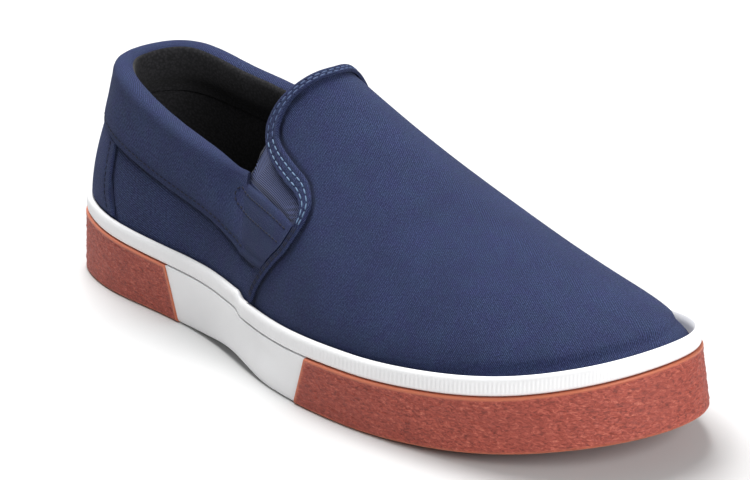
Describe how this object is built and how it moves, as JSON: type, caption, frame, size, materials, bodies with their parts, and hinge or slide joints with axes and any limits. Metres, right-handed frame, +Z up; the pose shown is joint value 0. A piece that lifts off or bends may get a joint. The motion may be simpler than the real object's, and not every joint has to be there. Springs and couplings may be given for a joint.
{
  "type": "slip-on sneaker",
  "caption": "Low slip-on canvas sneaker, right foot, with a padded collar, elastic gores and a white cup sole with gum rubber heel and toe pieces.",
  "frame": {"origin": "centre of the shoe's bounding box in plan, on the floor", "axes": "+X towards the toe, -Y the outer side, +Z up"},
  "size_m": [0.3, 0.11, 0.1082],
  "materials": {
    "gum_rubber": "matte, fine crinkled grain",
    "white_rubber": "satin",
    "navy_canvas": "matte, fine twill",
    "navy_elastic": "matte, ribbed",
    "footbed": "matte"
  },
  "bodies": {
    "root": {"heel_gum": "gum_rubber", "toe_gum": "gum_rubber", "midsole": "white_rubber", "foxing": "white_rubber", "insole": "footbed", "upper": "navy_canvas", "gore_lateral": "navy_elastic", "gore_medial": "navy_elastic", "heel_counter": "navy_canvas", "collar": "navy_canvas", "throat_binding": "navy_canvas"}
  },
  "joints": []
}
